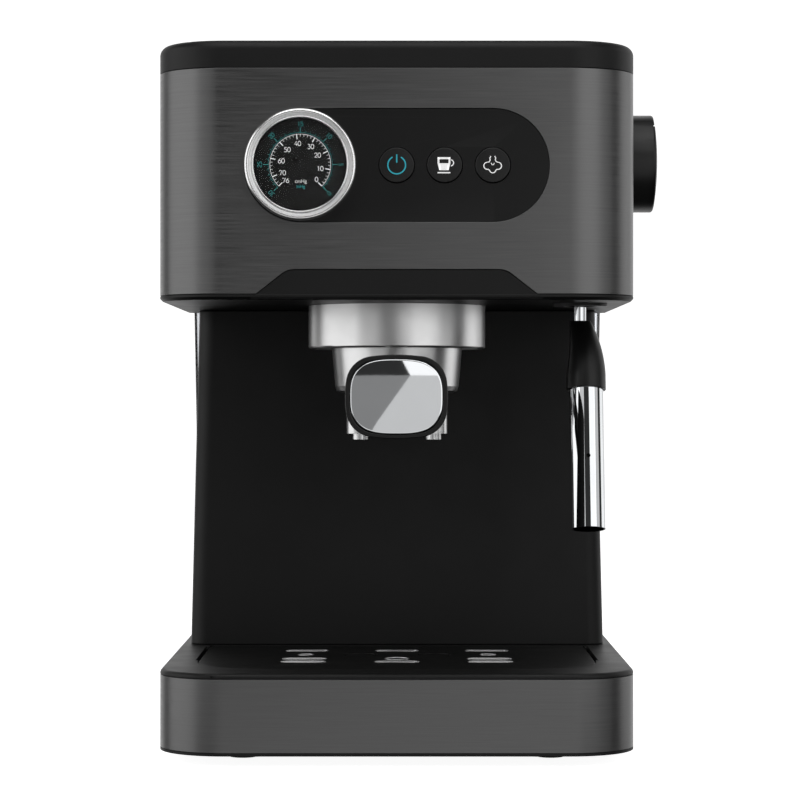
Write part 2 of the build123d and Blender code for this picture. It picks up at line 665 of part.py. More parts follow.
def portafilter_spout():
    """Twin spout: one gallery and two legs that end in short nozzles."""
    outline = [
        (-22.8, 140.5), (22.8, 140.5), (22.8, 154), (12, 157.2), (-12, 157.2), (-22.8, 154),
    ]
    body = facing_front(make_face(Polyline(*outline, close=True)), GROUP_Y - 8.5, GROUP_Y + 8.5)
    body = fillet(body.edges().filter_by(Axis.Z), 6)
    body += post(0, GROUP_Y, 150, 158.7, 11)
    body -= rod_y(0, 138.5, 60, 100, 10)
    body -= post(0, GROUP_Y, 152.9, 160, 8.1)
    gallery = box(-19, 19, GROUP_Y - 4, GROUP_Y + 4, 149.2, 152.2)
    for side in (-16.5, 16.5):
        body += post(side, GROUP_Y, 137.8, 141, 3.6)
    body -= gallery + post(0, GROUP_Y, 149.5, 155, 4)
    for side in (-16.5, 16.5):
        body -= post(side, GROUP_Y, 130, 150, 2.3)
    return body


HANDLE_SECTIONS = ((38, 21, 17, 166.0), (8, 26, 20.5, 164.0), (-32, 34.5, 26.6, 160.2))
HANDLE_END = (40.8, 33.4)


def bowed(width, height, bow, corner):
    """Outline with bowed sides and rounded corners."""
    x, z = width / 2, height / 2
    i, k = x - bow, z - bow
    sides = [
        ThreePointArc((-i, k), (0, z), (i, k)),
        ThreePointArc((i, k), (x, 0), (i, -k)),
        ThreePointArc((i, -k), (0, -z), (-i, -k)),
        ThreePointArc((-i, -k), (-x, 0), (-i, k)),
    ]
    outline = make_face(sides)
    return fillet(outline.vertices(), corner)


def handle_section(y, width, height, z):
    outline = bowed(width, height, 0.065 * height, 0.34 * height)
    return Plane.XZ.offset(-y) * Pos(0, z) * outline


def portafilter_handle():
    sections = [handle_section(*s) for s in HANDLE_SECTIONS]
    sections.append(handle_section(HANDLE_END_Y, *HANDLE_END, HANDLE_END_Z))
    grip = loft(sections)
    grip -= rod_y(0, NECK_Z, 4, 50, 4.1)
    return grip - facing_front(cap_outline(0.15), HANDLE_END_Y - 1, HANDLE_END_Y + 1.4)


def cap_outline(grow=0.0):
    width, height = (size + 2 * grow for size in CAP_SIZE)
    return Pos(0, HANDLE_END_Z) * bowed(width, height, 2.0, 10.4 + grow)


def handle_cap():
    """Mirror-bright plate with a shallow dome."""
    cap = facing_front(cap_outline(), HANDLE_END_Y - CAP_BULGE, HANDLE_END_Y + 1.3)
    return cap & Pos(0, HANDLE_END_Y - CAP_BULGE + CAP_DOME_R, HANDLE_END_Z) * Sphere(CAP_DOME_R)


# ---------------------------------------------------------------- steam side
def steam_knob():
    """Cup-shaped knob with a domed face and a chordal step as its pointer."""
    drop = KNOB_R**2 / (2 * KNOB_DOME_R)
    edge = KNOB_FACE_X - drop
    side = Polyline((0, KNOB_FACE_X), (0, KNOB_BACK_X), (KNOB_R, KNOB_BACK_X), (KNOB_R, edge))
    dome = ThreePointArc((KNOB_R, edge), (KNOB_R / 2, KNOB_FACE_X - drop / 4), (0, KNOB_FACE_X))
    outline = make_face(side.edges() + dome.edges())
    outline = fillet(outline.vertices().group_by(Axis.X)[-1].sort_by(Axis.Y)[-1:], 1.2)
    knob = Pos(0, KNOB_Y, KNOB_Z) * Rot(Z=-90) * revolve(outline, Axis.Y)
    knob -= rod_x(KNOB_Y, KNOB_Z, 100, 112.6, 19.4)
    knob += rod_x(KNOB_Y, KNOB_Z, 104, 114, 6)
    knob -= rod_x(KNOB_Y, KNOB_Z, 100, 113, SPINDLE_R)
    chord = KNOB_Z + KNOB_R - 6.2
    knob -= box(KNOB_FACE_X - 2.0, 120, KNOB_Y - 25, KNOB_Y + 25, chord, chord + 10)
    return knob - box(KNOB_FACE_X - 2.6, 120, KNOB_Y - 25, KNOB_Y + 25, chord, chord + 0.8)


def knob_spindle():
    return rod_x(KNOB_Y, KNOB_Z, 68, 113, SPINDLE_R) + rod_x(KNOB_Y, KNOB_Z, 86, 90, 5)


def steam_valve():
    body = box(56, 84, KNOB_Y - 9, KNOB_Y + 9, KNOB_Z - 9, KNOB_Z + 9)
    body += rod_x(KNOB_Y, KNOB_Z, 83, 92, 7.5)
    body -= rod_x(KNOB_Y, KNOB_Z, 67, 95, 3.1)
    body -= rod_x(KNOB_Y, KNOB_Z, 85.6, 95, 5.2)
    body += post(70, KNOB_Y - 4, 246, KNOB_Z - 8, 4)
    body -= post(70, KNOB_Y - 4, 240, KNOB_Z - 2, 2.0)
    return body - rod_x(KNOB_Y, KNOB_Z, 50, 66, 2.0)


def boiler_pipes():
    """Boiler to steam valve, steam valve to the wand's socket, and boiler to gauge."""
    feed = [(20, 84, 254.1), (20, 84, KNOB_Z), (44, KNOB_Y, KNOB_Z), (55.9, KNOB_Y, KNOB_Z)]
    drop = [(70, KNOB_Y - 4, 245.9), (70, KNOB_Y - 4, 230), (BALL[0], BALL[1], 226),
            (BALL[0], BALL[1], 212.1)]
    sense = [(GAUGE_X, 34.1, PANEL_Z), (GAUGE_X, 46, PANEL_Z), (GAUGE_X, 62, 232),
             (GAUGE_X, GROUP_Y, 230), (-34.1, GROUP_Y, 230)]
    return [
        tube(feed, (5, 10), 2.2, 1.2),
        tube(drop, (9, 9), 2.4, 1.4),
        tube(sense, (9, 9, 3), 1.2),
    ]


def wand_socket():
    """Nut in the underside of the head that holds the ball."""
    x, y = BALL[:2]
    nut = post(x, y, 197.2, 212, 10) + post(x, y, 196.7, HEAD_Z - 0.05, 12)
    nut -= post(x, y, 198.6, 208.5, 7.8)
    nut -= Pos(x, y, 197.6) * Cone(6.9, 5.2, 2.2)
    return nut - post(x, y, 190, 200, 5.2) - post(x, y, 200, 220, 2.0)


def ball_seat():
    """Bearing ring that turns in the nut and grips the ball."""
    x, y = BALL[:2]
    seat = post(x, y, 199.0, 206.2, 7.6) - Pos(*BALL) * Sphere(BALL_R + 0.1)
    return seat - post(x, y, 190, 210, 4.2) - Pos(x, y, 199.5) * Cylinder(5.1, 2)


def along(t, sideways=0.0):
    """Point on the frother's axis, t below its top."""
    lean = radians(WAND_TILT)
    return (WAND_TOP[0] + sideways, WAND_TOP[1] - t * sin(lean), WAND_TOP[2] - t * cos(lean))


def frother(t0, t1, radius):
    """Cylinder on the frother's axis."""
    middle = Plane(origin=along((t0 + t1) / 2), z_dir=Vector(*along(1)) - Vector(*along(0)))
    return middle * Cylinder(radius, t1 - t0)


def steam_wand():
    """Ball and bent pipe."""
    points = [BALL, (BALL[0], BALL[1], 187), along(-18), along(20)]
    pipe = tube(points, (3.0, 5.0), PIPE_R)
    pipe += Pos(*BALL) * Sphere(BALL_R)
    bore_points = [(BALL[0], BALL[1], 210), (BALL[0], BALL[1], 187), along(-18), along(21)]
    return pipe - tube(bore_points, (3.0, 5.0), 1.4)


def wand_grip():
    """Heat-proof sleeve that swells down to the frother."""
    top = Plane(origin=(BALL[0], BALL[1], 190.4), z_dir=(0, 0, 1)) * Circle(4.6)
    axis = Vector(*along(1)) - Vector(*along(0))
    waist = Plane(origin=along(-16), z_dir=-axis) * Circle(7.2)
    foot = Plane(origin=along(-5), z_dir=-axis) * Circle(8.6)
    grip = loft([top, waist, foot]) + frother(-5, 1.6, 8.6)
    points = [(BALL[0], BALL[1], 192), (BALL[0], BALL[1], 187), along(-18), along(4)]
    grip -= tube(points, (3.0, 5.0), PIPE_R)
    return grip - frother(0, 5, SLEEVE_R)


def froth_sleeve():
    sleeve = frother(0.05, SLEEVE_LENGTH, SLEEVE_R) - frother(-1, SLEEVE_LENGTH + 1, 6.8)
    x, y, z = along(30.5)
    return sleeve - rod_y(x, z, y - 20, y, 0.9)


def froth_nozzle():
    nozzle = frother(0.05, 12, 6.75) + frother(11, 46, 4.4) + frother(45, 49, 3.4)
    return nozzle - frother(-1, 20.05, PIPE_R) - frother(19, 50, 1.2)


# ---------------------------------------------------------------- pump and hoses
PUMP = (-14.0, 168.0, 68.0)


def pump_coil():
    """Encapsulated coil of the vibration pump, with its two terminals."""
    x, y, z = PUMP
    coil = box(x - 22, x + 22, y - 19, y + 19, z - 19, z + 19)
    coil = fillet(coil.edges().filter_by(Axis.X), 5)
    coil += [box(x + s - 3, x + s + 3, y - 0.4, y + 0.4, z + 22.2, z + 30) for s in (-9, 9)]
    coil += box(x - 14, x + 14, y - 4, y + 4, z + 18, z + 24)
    return coil - rod_x(y, z, x - 30, x + 30, 9.05)


def pump_yoke():
    """Steel frame round the coil."""
    x, y, z = PUMP
    yoke = box(x - 25, x + 25, y - 11, y + 11, z - 22, z + 22)
    yoke -= box(x - 22.1, x + 22.1, y - 20, y + 20, z - 19.1, z + 19.1)
    yoke -= box(x - 14.1, x + 14.1, y - 4.1, y + 4.1, z + 10, z + 30)
    return yoke - rod_x(y, z, x - 30, x + 30, 9.05)


def pump_barrel():
    """Cylinder that the piston runs in, with the inlet and outlet stubs."""
    x, y, z = PUMP
    barrel = rod_x(y, z, x - 46, x + 46, 9) + rod_x(y, z, x + 45, x + 58, 3)
    return barrel + rod_x(y, z, x - 56, x - 45, 3)


def pump_mounts():
    x, y, z = PUMP
    collars = [rod_x(y, z, x + s - 4, x + s + 4, 13) for s in (-36, 36)]
    feet_ = [box(x + s - 4, x + s + 4, y - 12, y + 12, DECK_Z + 0.1, z - 6) for s in (-36, 36)]
    hole = rod_x(y, z, x - 60, x + 60, 9.05)
    return [collar + foot - hole for collar, foot in zip(collars, feet_)]


def pump_hoses():
    """From the tank dock to the pump, and from the pump up the column to the boiler."""
    x, y, z = PUMP
    end = x + 58.2
    suction = [(DOCK[0], DOCK[1], 69.9), (DOCK[0], DOCK[1], 52), (64, 198, 50), (66, y, z),
               (end, y, z)]
    rise = [(x - 56.2, y, z), (-86, y, z), (-82, y - 4, 100), (-52, 164, 150), (-50, 164, 246),
            (-46, 142, 274), (-20, 84, 274), (-20, 84, 254.1)]
    return [tube(suction, (10, 14, 9), 3.4), tube(rise, (9, 25, 40, 20, 20, 8), 2.2)]


# ---------------------------------------------------------------- export
PARTS = {
    "base_shell": base_shell,
    "base_band": base_band,
    "base_plate": base_plate,
    "feet": feet,
    "case_screws": case_screws,
    "drip_tray": drip_tray,
    "drip_grid": drip_grid,
    "column_shell": column_shell,
    "rear_housing": rear_housing,
    "rear_panel": rear_panel,
    "cord_gland": cord_gland,
    "tank_body": tank_body,
    "tank_lid": tank_lid,
    "lid_hinge_pins": lid_hinge_pins,
    "tank_poppet": tank_poppet,
    "tank_dock": tank_dock,
    "dock_seal": dock_seal,
    "head_shell": head_shell,
    "head_band": head_band,
    "top_cover": top_cover,
    "cup_warmer_plate": cup_warmer_plate,
    "control_panel": control_panel,
    "control_board": control_board,
    "gauge_bezel": gauge_bezel,
    "gauge_case": gauge_case,
    "gauge_dial": gauge_dial,
    "gauge_glass": gauge_glass,
    "gauge_needle": gauge_needle,
    "boiler_lower": boiler_lower,
    "boiler_upper": boiler_upper,
    "boiler_screws": boiler_screws,
    "boiler_thermostat": boiler_thermostat,
    "brew_collar": brew_collar,
    "group_ring": group_ring,
    "group_gasket": group_gasket,
    "shower_screen": shower_screen,
    "portafilter_bowl": portafilter_bowl,
    "filter_basket": filter_basket,
    "basket_spring": basket_spring,
    "portafilter_spout": portafilter_spout,
    "portafilter_handle": portafilter_handle,
    "handle_cap": handle_cap,
    "steam_knob": steam_knob,
    "knob_spindle": knob_spindle,
    "steam_valve": steam_valve,
    "boiler_pipes": boiler_pipes,
    "wand_socket": wand_socket,
    "ball_seat": ball_seat,
    "steam_wand": steam_wand,
    "wand_grip": wand_grip,
    "froth_sleeve": froth_sleeve,
    "froth_nozzle": froth_nozzle,
    "pump_coil": pump_coil,
    "pump_yoke": pump_yoke,
    "pump_barrel": pump_barrel,
    "pump_mounts": pump_mounts,
    "pump_hoses": pump_hoses,
}
for name, x in BUTTON_X.items():
    PARTS[f"button_{name}"] = lambda x=x: button(x)


def save(name, made):
    """Writes one piece, or one group of identical pieces, about the part's origin."""
    solids = [s for shape in (made if isinstance(made, list) else [made]) for s in shape.solids()]
    placed = [Pos(-ORIGIN_X, -ORIGIN_Y, 0) * solid for solid in solids]
    export_step(placed[0] if len(placed) == 1 else Compound(children=placed), f"parts/{name}.step")


os.makedirs("parts", exist_ok=True)
for name, make in PARTS.items():
    save(name, make())
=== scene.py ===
import json
from math import cos, pi, radians, sin

import bmesh
import bpy
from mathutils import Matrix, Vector


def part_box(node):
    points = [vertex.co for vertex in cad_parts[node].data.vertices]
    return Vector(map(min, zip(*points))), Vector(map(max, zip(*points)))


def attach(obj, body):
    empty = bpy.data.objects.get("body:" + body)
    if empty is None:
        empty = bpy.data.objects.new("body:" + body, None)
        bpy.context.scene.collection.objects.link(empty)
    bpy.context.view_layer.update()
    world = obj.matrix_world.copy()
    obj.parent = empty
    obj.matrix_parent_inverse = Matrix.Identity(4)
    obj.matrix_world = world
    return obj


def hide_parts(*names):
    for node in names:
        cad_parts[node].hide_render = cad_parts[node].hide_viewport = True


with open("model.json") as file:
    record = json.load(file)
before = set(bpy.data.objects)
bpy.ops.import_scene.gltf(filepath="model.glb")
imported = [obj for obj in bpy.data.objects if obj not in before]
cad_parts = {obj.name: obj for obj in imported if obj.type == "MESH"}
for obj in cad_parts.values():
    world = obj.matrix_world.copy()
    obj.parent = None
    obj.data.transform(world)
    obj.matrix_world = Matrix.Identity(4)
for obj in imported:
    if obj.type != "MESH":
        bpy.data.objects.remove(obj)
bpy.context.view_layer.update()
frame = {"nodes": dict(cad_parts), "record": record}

MM = 0.001

# ---------------------------------------------------------------- places, from the frame
band_low, band_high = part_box("head_band")
MID_X = (band_low.x + band_high.x) / 2  # plane of symmetry of the casing
FRONT_Y = band_low.y  # front face of head and base


def centre(node):
    low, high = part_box(node)
    return (low + high) / 2


def body_of_node(node):
    groups = frame["record"]["behaviour"]["bodies"]
    return next(body for body, nodes in groups.items() if node in nodes)


def slot_of_node(node):
    return next(s["material_slot"] for s in frame["record"]["subparts"] if s["node"] == node)


# ---------------------------------------------------------------- materials
def srgb(*values):
    """Linear colour from 0-255 sRGB values; one value gives a grey."""
    values = values * 3 if len(values) == 1 else values
    linear = []
    for value in values:
        v = value / 255
        linear.append(v / 12.92 if v <= 0.04045 else ((v + 0.055) / 1.055) ** 2.4)
    return (*linear, 1.0)


def scaled(colour, factor):
    """The colour made lighter or darker, without its alpha going past 1."""
    return tuple(min(c * factor, 1) for c in colour[:3]) + (1.0,)


class Surface:
    """A Principled material whose colour, roughness and bump come from noise in object space."""

    def __init__(self, name, **sockets):
        self.material = bpy.data.materials.new(name)
        self.material.use_nodes = True
        self.nodes = self.material.node_tree.nodes
        self.links = self.material.node_tree.links
        self.shader = self.nodes["Principled BSDF"]
        self.place = self.nodes.new("ShaderNodeTexCoord").outputs["Object"]
        for socket, value in sockets.items():
            self.shader.inputs[socket.replace("_", " ")].default_value = value

    def noise(self, scale, stretch=(1, 1, 1), detail=3.0, offset=(0, 0, 0)):
        """Noise output; scale counts features per metre, stretch multiplies it along each axis."""
        mapping = self.nodes.new("ShaderNodeMapping")
        mapping.inputs["Scale"].default_value = [scale * s for s in stretch]
        mapping.inputs["Location"].default_value = offset
        self.links.new(self.place, mapping.inputs["Vector"])
        texture = self.nodes.new("ShaderNodeTexNoise")
        texture.inputs["Scale"].default_value = 1.0
        texture.inputs["Detail"].default_value = detail
        self.links.new(mapping.outputs["Vector"], texture.inputs["Vector"])
        return texture.outputs["Fac"]

    def span(self, value, low, high, from_low=0.3, from_high=0.7):
        """Maps a noise value to the span from low to high. Noise rarely leaves 0.3 to 0.7."""
        node = self.nodes.new("ShaderNodeMapRange")
        node.inputs["From Min"].default_value = from_low
        node.inputs["From Max"].default_value = from_high
        node.inputs["To Min"].default_value = low
        node.inputs["To Max"].default_value = high
        self.links.new(value, node.inputs["Value"])
        return node.outputs["Result"]

    def blend(self, value, first, second):
        """Colour between first and second; each is a colour or a colour output."""
        node = self.nodes.new("ShaderNodeMix")
        node.data_type = "RGBA"
        self.links.new(value, node.inputs["Factor"])
        for socket, colour in (("A", first), ("B", second)):
            target = [i for i in node.inputs if i.name == socket and i.type == "RGBA"][0]
            if isinstance(colour, tuple):
                target.default_value = colour
            else:
                self.links.new(colour, target)
        return next(o for o in node.outputs if o.type == "RGBA")

    def worn(self):
        """1 on convex edges, 0 on flats."""
        geometry = self.nodes.new("ShaderNodeNewGeometry")
        return self.span(geometry.outputs["Pointiness"], 0.0, 1.0, 0.53, 0.66)

    def colour(self, output):
        self.links.new(output, self.shader.inputs["Base Color"])

    def roughness(self, output):
        self.links.new(output, self.shader.inputs["Roughness"])

    def bump(self, height, depth, strength=0.5):
        """Bump from a noise output; depth is in millimetres."""
        node = self.nodes.new("ShaderNodeBump")
        node.inputs["Distance"].default_value = depth * MM
        node.inputs["Strength"].default_value = strength
        self.links.new(height, node.inputs["Height"])
        self.links.new(node.outputs["Normal"], self.shader.inputs["Normal"])


def moulded(name, grey, roughness, texture=2600, depth=0.02, specular=0.5, tint=(1, 1, 1)):
    """Moulded plastic: spark texture, faint flow variation and paler worn edges."""
    s = Surface(name, Specular_IOR_Level=specular)
    base = tuple(c * t for c, t in zip(srgb(grey), tint)) + (1.0,)
    pale = tuple(min(c * 1.9 + 0.004, 1) for c in base[:3]) + (1.0,)
    flow = s.blend(s.span(s.noise(18, detail=4), 0, 1), base, scaled(base, 0.82))
    s.colour(s.blend(s.worn(), flow, pale))
    s.roughness(s.span(s.noise(60, detail=5), roughness - 0.035, roughness + 0.035))
    s.bump(s.noise(texture, detail=2), depth, strength=0.6)
    return s.material


def brushed(name, grey, roughness, density, contrast):
    """Brushed metal: long fine scratches; density counts them per metre along X, Y and Z."""
    s = Surface(name, Metallic=1.0)
    base = srgb(grey)
    light, dark = scaled(base, 1 + contrast), scaled(base, 1 - contrast)
    fine = s.noise(1, density, detail=3)
    sparse = (density[0] * 0.45, density[1] * 0.45, density[2] * 0.3)
    coarse = s.noise(1, sparse, detail=2, offset=(3, 1, 7))
    strokes = s.blend(s.span(fine, 0, 1, 0.35, 0.65), dark, light)
    s.colour(s.blend(s.span(coarse, 0, 0.6, 0.35, 0.65), strokes, base))
    s.roughness(s.span(fine, roughness - 0.05, roughness + 0.06))
    s.bump(fine, 0.012)
    return s.material


def polished(name, colour, roughness, smear=0.02):
    """Plated or polished metal with faint polishing haze."""
    s = Surface(name, Metallic=1.0)
    s.colour(s.blend(s.span(s.noise(35, detail=4), 0, 1), colour, scaled(colour, 0.94)))
    s.roughness(s.span(s.noise(120, detail=5), roughness, roughness + smear))
    s.bump(s.noise(500, detail=3), 0.002, strength=0.4)
    return s.material


def blasted(name, grey, roughness, grain=1500, depth=0.02, mottle=0.045):
    """Cast metal, bead blasted or satin polished."""
    s = Surface(name, Metallic=1.0)
    base = srgb(grey)
    s.colour(s.blend(s.span(s.noise(45, detail=6), 0, 1), base, scaled(base, 1 - 4 * mottle)))
    s.roughness(s.span(s.noise(220, detail=5), roughness - mottle, roughness + mottle))
    s.bump(s.noise(grain, detail=3), depth)
    return s.material


def turned_metal(name, grey, roughness):
    """Face-turned metal of the bezel, grained across the ring."""
    s = Surface(name, Metallic=1.0)
    light, dark = srgb(grey + 12), srgb(grey - 14)
    s.colour(s.blend(s.span(s.noise(1, (2600, 300, 500), detail=3), 0, 1), dark, light))
    s.roughness(s.span(s.noise(900, detail=3), roughness - 0.05, roughness + 0.07))
    s.bump(s.noise(2400, detail=2), 0.006)
    return s.material


def printed(name, colour, glow):
    """Screen-printed ink, slightly uneven in tone; glow is painted light, an emission that makes
    the gauge's and the buttons' ink look brighter than the lamps light it.
    """
    s = Surface(name, Specular_IOR_Level=0.3, Emission_Color=colour, Emission_Strength=glow)
    s.colour(s.blend(s.span(s.noise(900, detail=3), 0, 1), colour, scaled(colour, 0.85)))
    s.roughness(s.span(s.noise(1500), 0.45, 0.6))
    return s.material


def clear(name, colour, roughness, ior):
    """Glass or transparent plastic."""
    s = Surface(name, Transmission_Weight=1.0, IOR=ior)
    s.colour(s.blend(s.span(s.noise(25, detail=3), 0, 1), colour, scaled(colour, 0.93)))
    s.roughness(s.span(s.noise(80, detail=4), roughness, roughness + 0.03))
    return s.material


STEEL = brushed("brushed_dark_steel", 108, 0.34, density=(42, 42, 2400), contrast=0.09)
CASING = moulded("black_casing", 24, 0.46, specular=0.26)
SATIN = moulded("black_satin", 21, 0.36, texture=4200, depth=0.008, specular=0.28)
RUBBER = moulded("rubber_black", 26, 0.75, texture=1400, depth=0.03, specular=0.3)
ZINC = blasted("screw_steel", 165, 0.32, grain=2500, depth=0.008)
SMOKE = clear("smoked_plastic", srgb(196, 198, 202), 0.03, 1.45)
TANK_BLACK = moulded("tank_black", 24, 0.46, specular=0.26)
WARMER = brushed("warmer_steel", 150, 0.3, density=(20, 1500, 20), contrast=0.12)
BUTTON = moulded("button_plastic", 30, 0.38, texture=3800, depth=0.01, specular=0.35)
BOARD = moulded("circuit_board", 90, 0.4, texture=900, depth=0.02, tint=(0.25, 1.0, 0.45))
BEZEL = turned_metal("bezel_metal", 236, 0.46)
RIM = polished("bezel_rim_metal", srgb(250), 0.2, smear=0.06)
DIAL = moulded("dial_black", 12, 0.8, texture=5200, depth=0.003, specular=0.03)
GLASS = clear("clear_glass", (0.99, 0.99, 0.99, 1.0), 0.0, 1.1)
NEEDLE = moulded("needle_paint", 12, 0.8, texture=3000, depth=0.003, specular=0.03)
CAST = blasted("cast_aluminium", 178, 0.48, depth=0.04, grain=900)
SATIN_METAL = blasted("satin_aluminium", 226, 0.3, depth=0.0015, grain=3200, mottle=0.015)
CHROME = polished("bright_chrome", srgb(236, 238, 240), 0.03)
HANDLE = moulded("handle_black", 22, 0.34, texture=2400, depth=0.008, specular=0.34)
NOZZLE = moulded("nozzle_black", 24, 0.4, specular=0.34)
BRASS = blasted("brass", 190, 0.3, grain=1800, depth=0.01)
COIL = moulded("coil_black", 34, 0.5)
HOSE = moulded("hose_clear", 205, 0.45, texture=700, depth=0.02, tint=(1.0, 0.96, 0.88))
PIPE = polished("pipe_metal", srgb(196, 194, 188), 0.22, smear=0.08)

SLOT_MATERIALS = {
    "brushed_dark_steel": STEEL, "black_casing": CASING, "black_satin": SATIN,
    "rubber_black": RUBBER, "screw_steel": ZINC, "smoked_plastic": SMOKE,
    "tank_black": TANK_BLACK, "warmer_steel": WARMER, "button_plastic": BUTTON,
    "circuit_board": BOARD, "bezel_metal": BEZEL, "dial_black": DIAL, "clear_glass": GLASS,
    "needle_paint": NEEDLE, "cast_aluminium": CAST, "satin_aluminium": SATIN_METAL,
    "bright_chrome": CHROME, "handle_black": HANDLE, "nozzle_black": NOZZLE, "brass": BRASS,
    "coil_black": COIL, "hose_clear": HOSE, "pipe_ptfe": PIPE,
}
for node, thing in frame["nodes"].items():
    thing.data.materials.clear()
    thing.data.materials.append(SLOT_MATERIALS[slot_of_node(node)])
# Painted light: each ink glows by emission, so the dial print and the button symbols look brighter
# than the lamps alone make them.
WHITE_PAINTED_GLOW_INK = printed("white_painted_glow_ink", srgb(235), 0.5)
DIAL_PAINTED_GLOW_WHITE = printed("dial_white_painted_glow_ink", srgb(215), 0.25)
DIAL_PAINTED_GLOW_TEAL = printed("dial_teal_painted_glow_ink", srgb(40, 150, 150), 0.3)
TEAL_PAINTED_GLOW_INK = printed("teal_painted_glow_ink", srgb(48, 156, 172), 0.45)


# ---------------------------------------------------------------- mesh tools
def add_piece(name, mesh, material, body, replaced=()):
    piece = bpy.data.objects.new(name, mesh)
    bpy.context.scene.collection.objects.link(piece)
    piece.data.materials.clear()
    piece.data.materials.append(material)
    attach(piece, body)
    if replaced:
        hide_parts(*replaced)
    return piece


def shade(mesh, sharp_degrees):
    """Smooth faces with sharp edges kept sharp."""
    for face in mesh.polygons:
        face.use_smooth = True
    mesh.set_sharp_from_angle(angle=radians(sharp_degrees))


def mesh_from(name, work, sharp_degrees=32):
    """Ends the editing of a mesh and shades it."""
    mesh = bpy.data.meshes.new(name)
    work.to_mesh(mesh)
    work.free()
    shade(mesh, sharp_degrees)
    return mesh


SHARP_EDGE = 28  # degrees between the faces of an edge that gets rounded


def rounded(node, width):
    """Copy of a CAD node with its sharp edges rounded, which stands for the node."""
    work = bmesh.new()
    work.from_mesh(frame["nodes"][node].data)
    bmesh.ops.remove_doubles(work, verts=work.verts, dist=2e-6)
    bmesh.ops.dissolve_limit(work, angle_limit=radians(0.3), verts=work.verts, edges=work.edges)
    mesh = bpy.data.meshes.new(node + "_rounded")
    work.to_mesh(mesh)
    work.free()
    if mesh.has_custom_normals:
        mesh.attributes.remove(mesh.attributes["custom_normal"])
    shade(mesh, SHARP_EDGE)
    slot = slot_of_node(node)
    piece = add_piece(
        node + "_rounded", mesh, SLOT_MATERIALS[slot], body_of_node(node), [node]
    )
    bevel = piece.modifiers.new("edges", "BEVEL")
    bevel.width = width
    bevel.segments = 3
    bevel.limit_method = "ANGLE"
    bevel.angle_limit = radians(SHARP_EDGE)
    bevel.harden_normals = True
    bevel.use_clamp_overlap = True


def lathe(name, profile, origin, axis, material, body, replaced, steps):
    """Turned piece; profile lists (radius, distance along the axis) and is closed."""
    axis = Vector(axis).normalized()
    side = axis.orthogonal().normalized()
    other = axis.cross(side)
    work = bmesh.new()
    rings = []
    for i in range(steps):
        turn = 2 * pi * i / steps
        out = side * cos(turn) + other * sin(turn)
        rings.append([work.verts.new(Vector(origin) + out * r + axis * h) for r, h in profile])
    for i in range(steps):
        a, b = rings[i], rings[(i + 1) % steps]
        for j in range(len(profile)):
            k = (j + 1) % len(profile)
            work.faces.new((a[j], b[j], b[k], a[k]))
    bmesh.ops.remove_doubles(work, verts=work.verts, dist=1e-7)
    bmesh.ops.recalc_face_normals(work, faces=work.faces)
    add_piece(name, mesh_from(name, work), material, body, replaced)


def oval(cx, cy, rx, ry, start, end, count):
    """Points of an elliptical arc, in degrees."""
    turns = [radians(start + (end - start) * i / count) for i in range(count + 1)]
    return [(cx + rx * cos(t), cy + ry * sin(t)) for t in turns]


def arc(cx, cy, radius, start, end, count):
    return oval(cx, cy, radius, radius, start, end, count)


def neighbours(points, i, closed):
    """Points before and after the one at i, which an open line's ends stand in for."""
    before = points[i - 1] if closed or i else points[0]
    after = points[(i + 1) % len(points)] if closed or i < len(points) - 1 else points[-1]
    return before, after


# ---------------------------------------------------------------- casing
# Width in millimetres of the rounding on each node's edges.
for node, width in (
    ("head_band", 0.22), ("base_band", 0.22), ("base_shell", 0.3), ("head_shell", 0.4),
    ("top_cover", 0.3), ("column_shell", 0.6), ("rear_housing", 0.5), ("drip_grid", 0.2),
    ("tank_body", 0.4), ("tank_lid", 0.3), ("control_panel", 0.15), ("steam_knob", 0.3),
    ("portafilter_spout", 0.6), ("cup_warmer_plate", 0.25), ("base_plate", 0.2),
    ("portafilter_handle", 0.5), ("wand_grip", 0.4), ("button_power", 0.12),
    ("button_coffee", 0.12), ("button_steam", 0.12), ("drip_tray", 0.4), ("feet", 0.3),
):
    rounded(node, width * MM)


# ---------------------------------------------------------------- pressure gauge
GAUGE = centre("gauge_glass")
GAUGE.y = FRONT_Y
TOWARDS_VIEWER = (0, -1, 0)

BEZEL_PARTS = (
    ("bezel_rim", RIM, [(22.5, -0.35), (23.4, -0.35), (23.65, -0.1), (23.65, 4.1)]
     + arc(22.45, 4.2, 1.2, 0, 110, 16) + [(21.95, 4.9), (22.3, 4.6)]),
    ("bezel_ring", BEZEL, [(20.5, -0.35), (22.45, -0.35), (22.25, 4.6), (21.9, 4.95),
                           (21.1, 4.82), (20.62, 4.6)]),
    ("bezel_bead", RIM, [(19.68, 2.65), (20.45, 2.6), (20.55, 4.6)]
     + arc(20.08, 4.82, 0.42, 0, 180, 12)),
)
for name, material, profile in BEZEL_PARTS:
    lathe(
        name, [(r * MM, h * MM) for r, h in profile], GAUGE, TOWARDS_VIEWER, material,
        "root", ["gauge_bezel"], steps=256,
    )


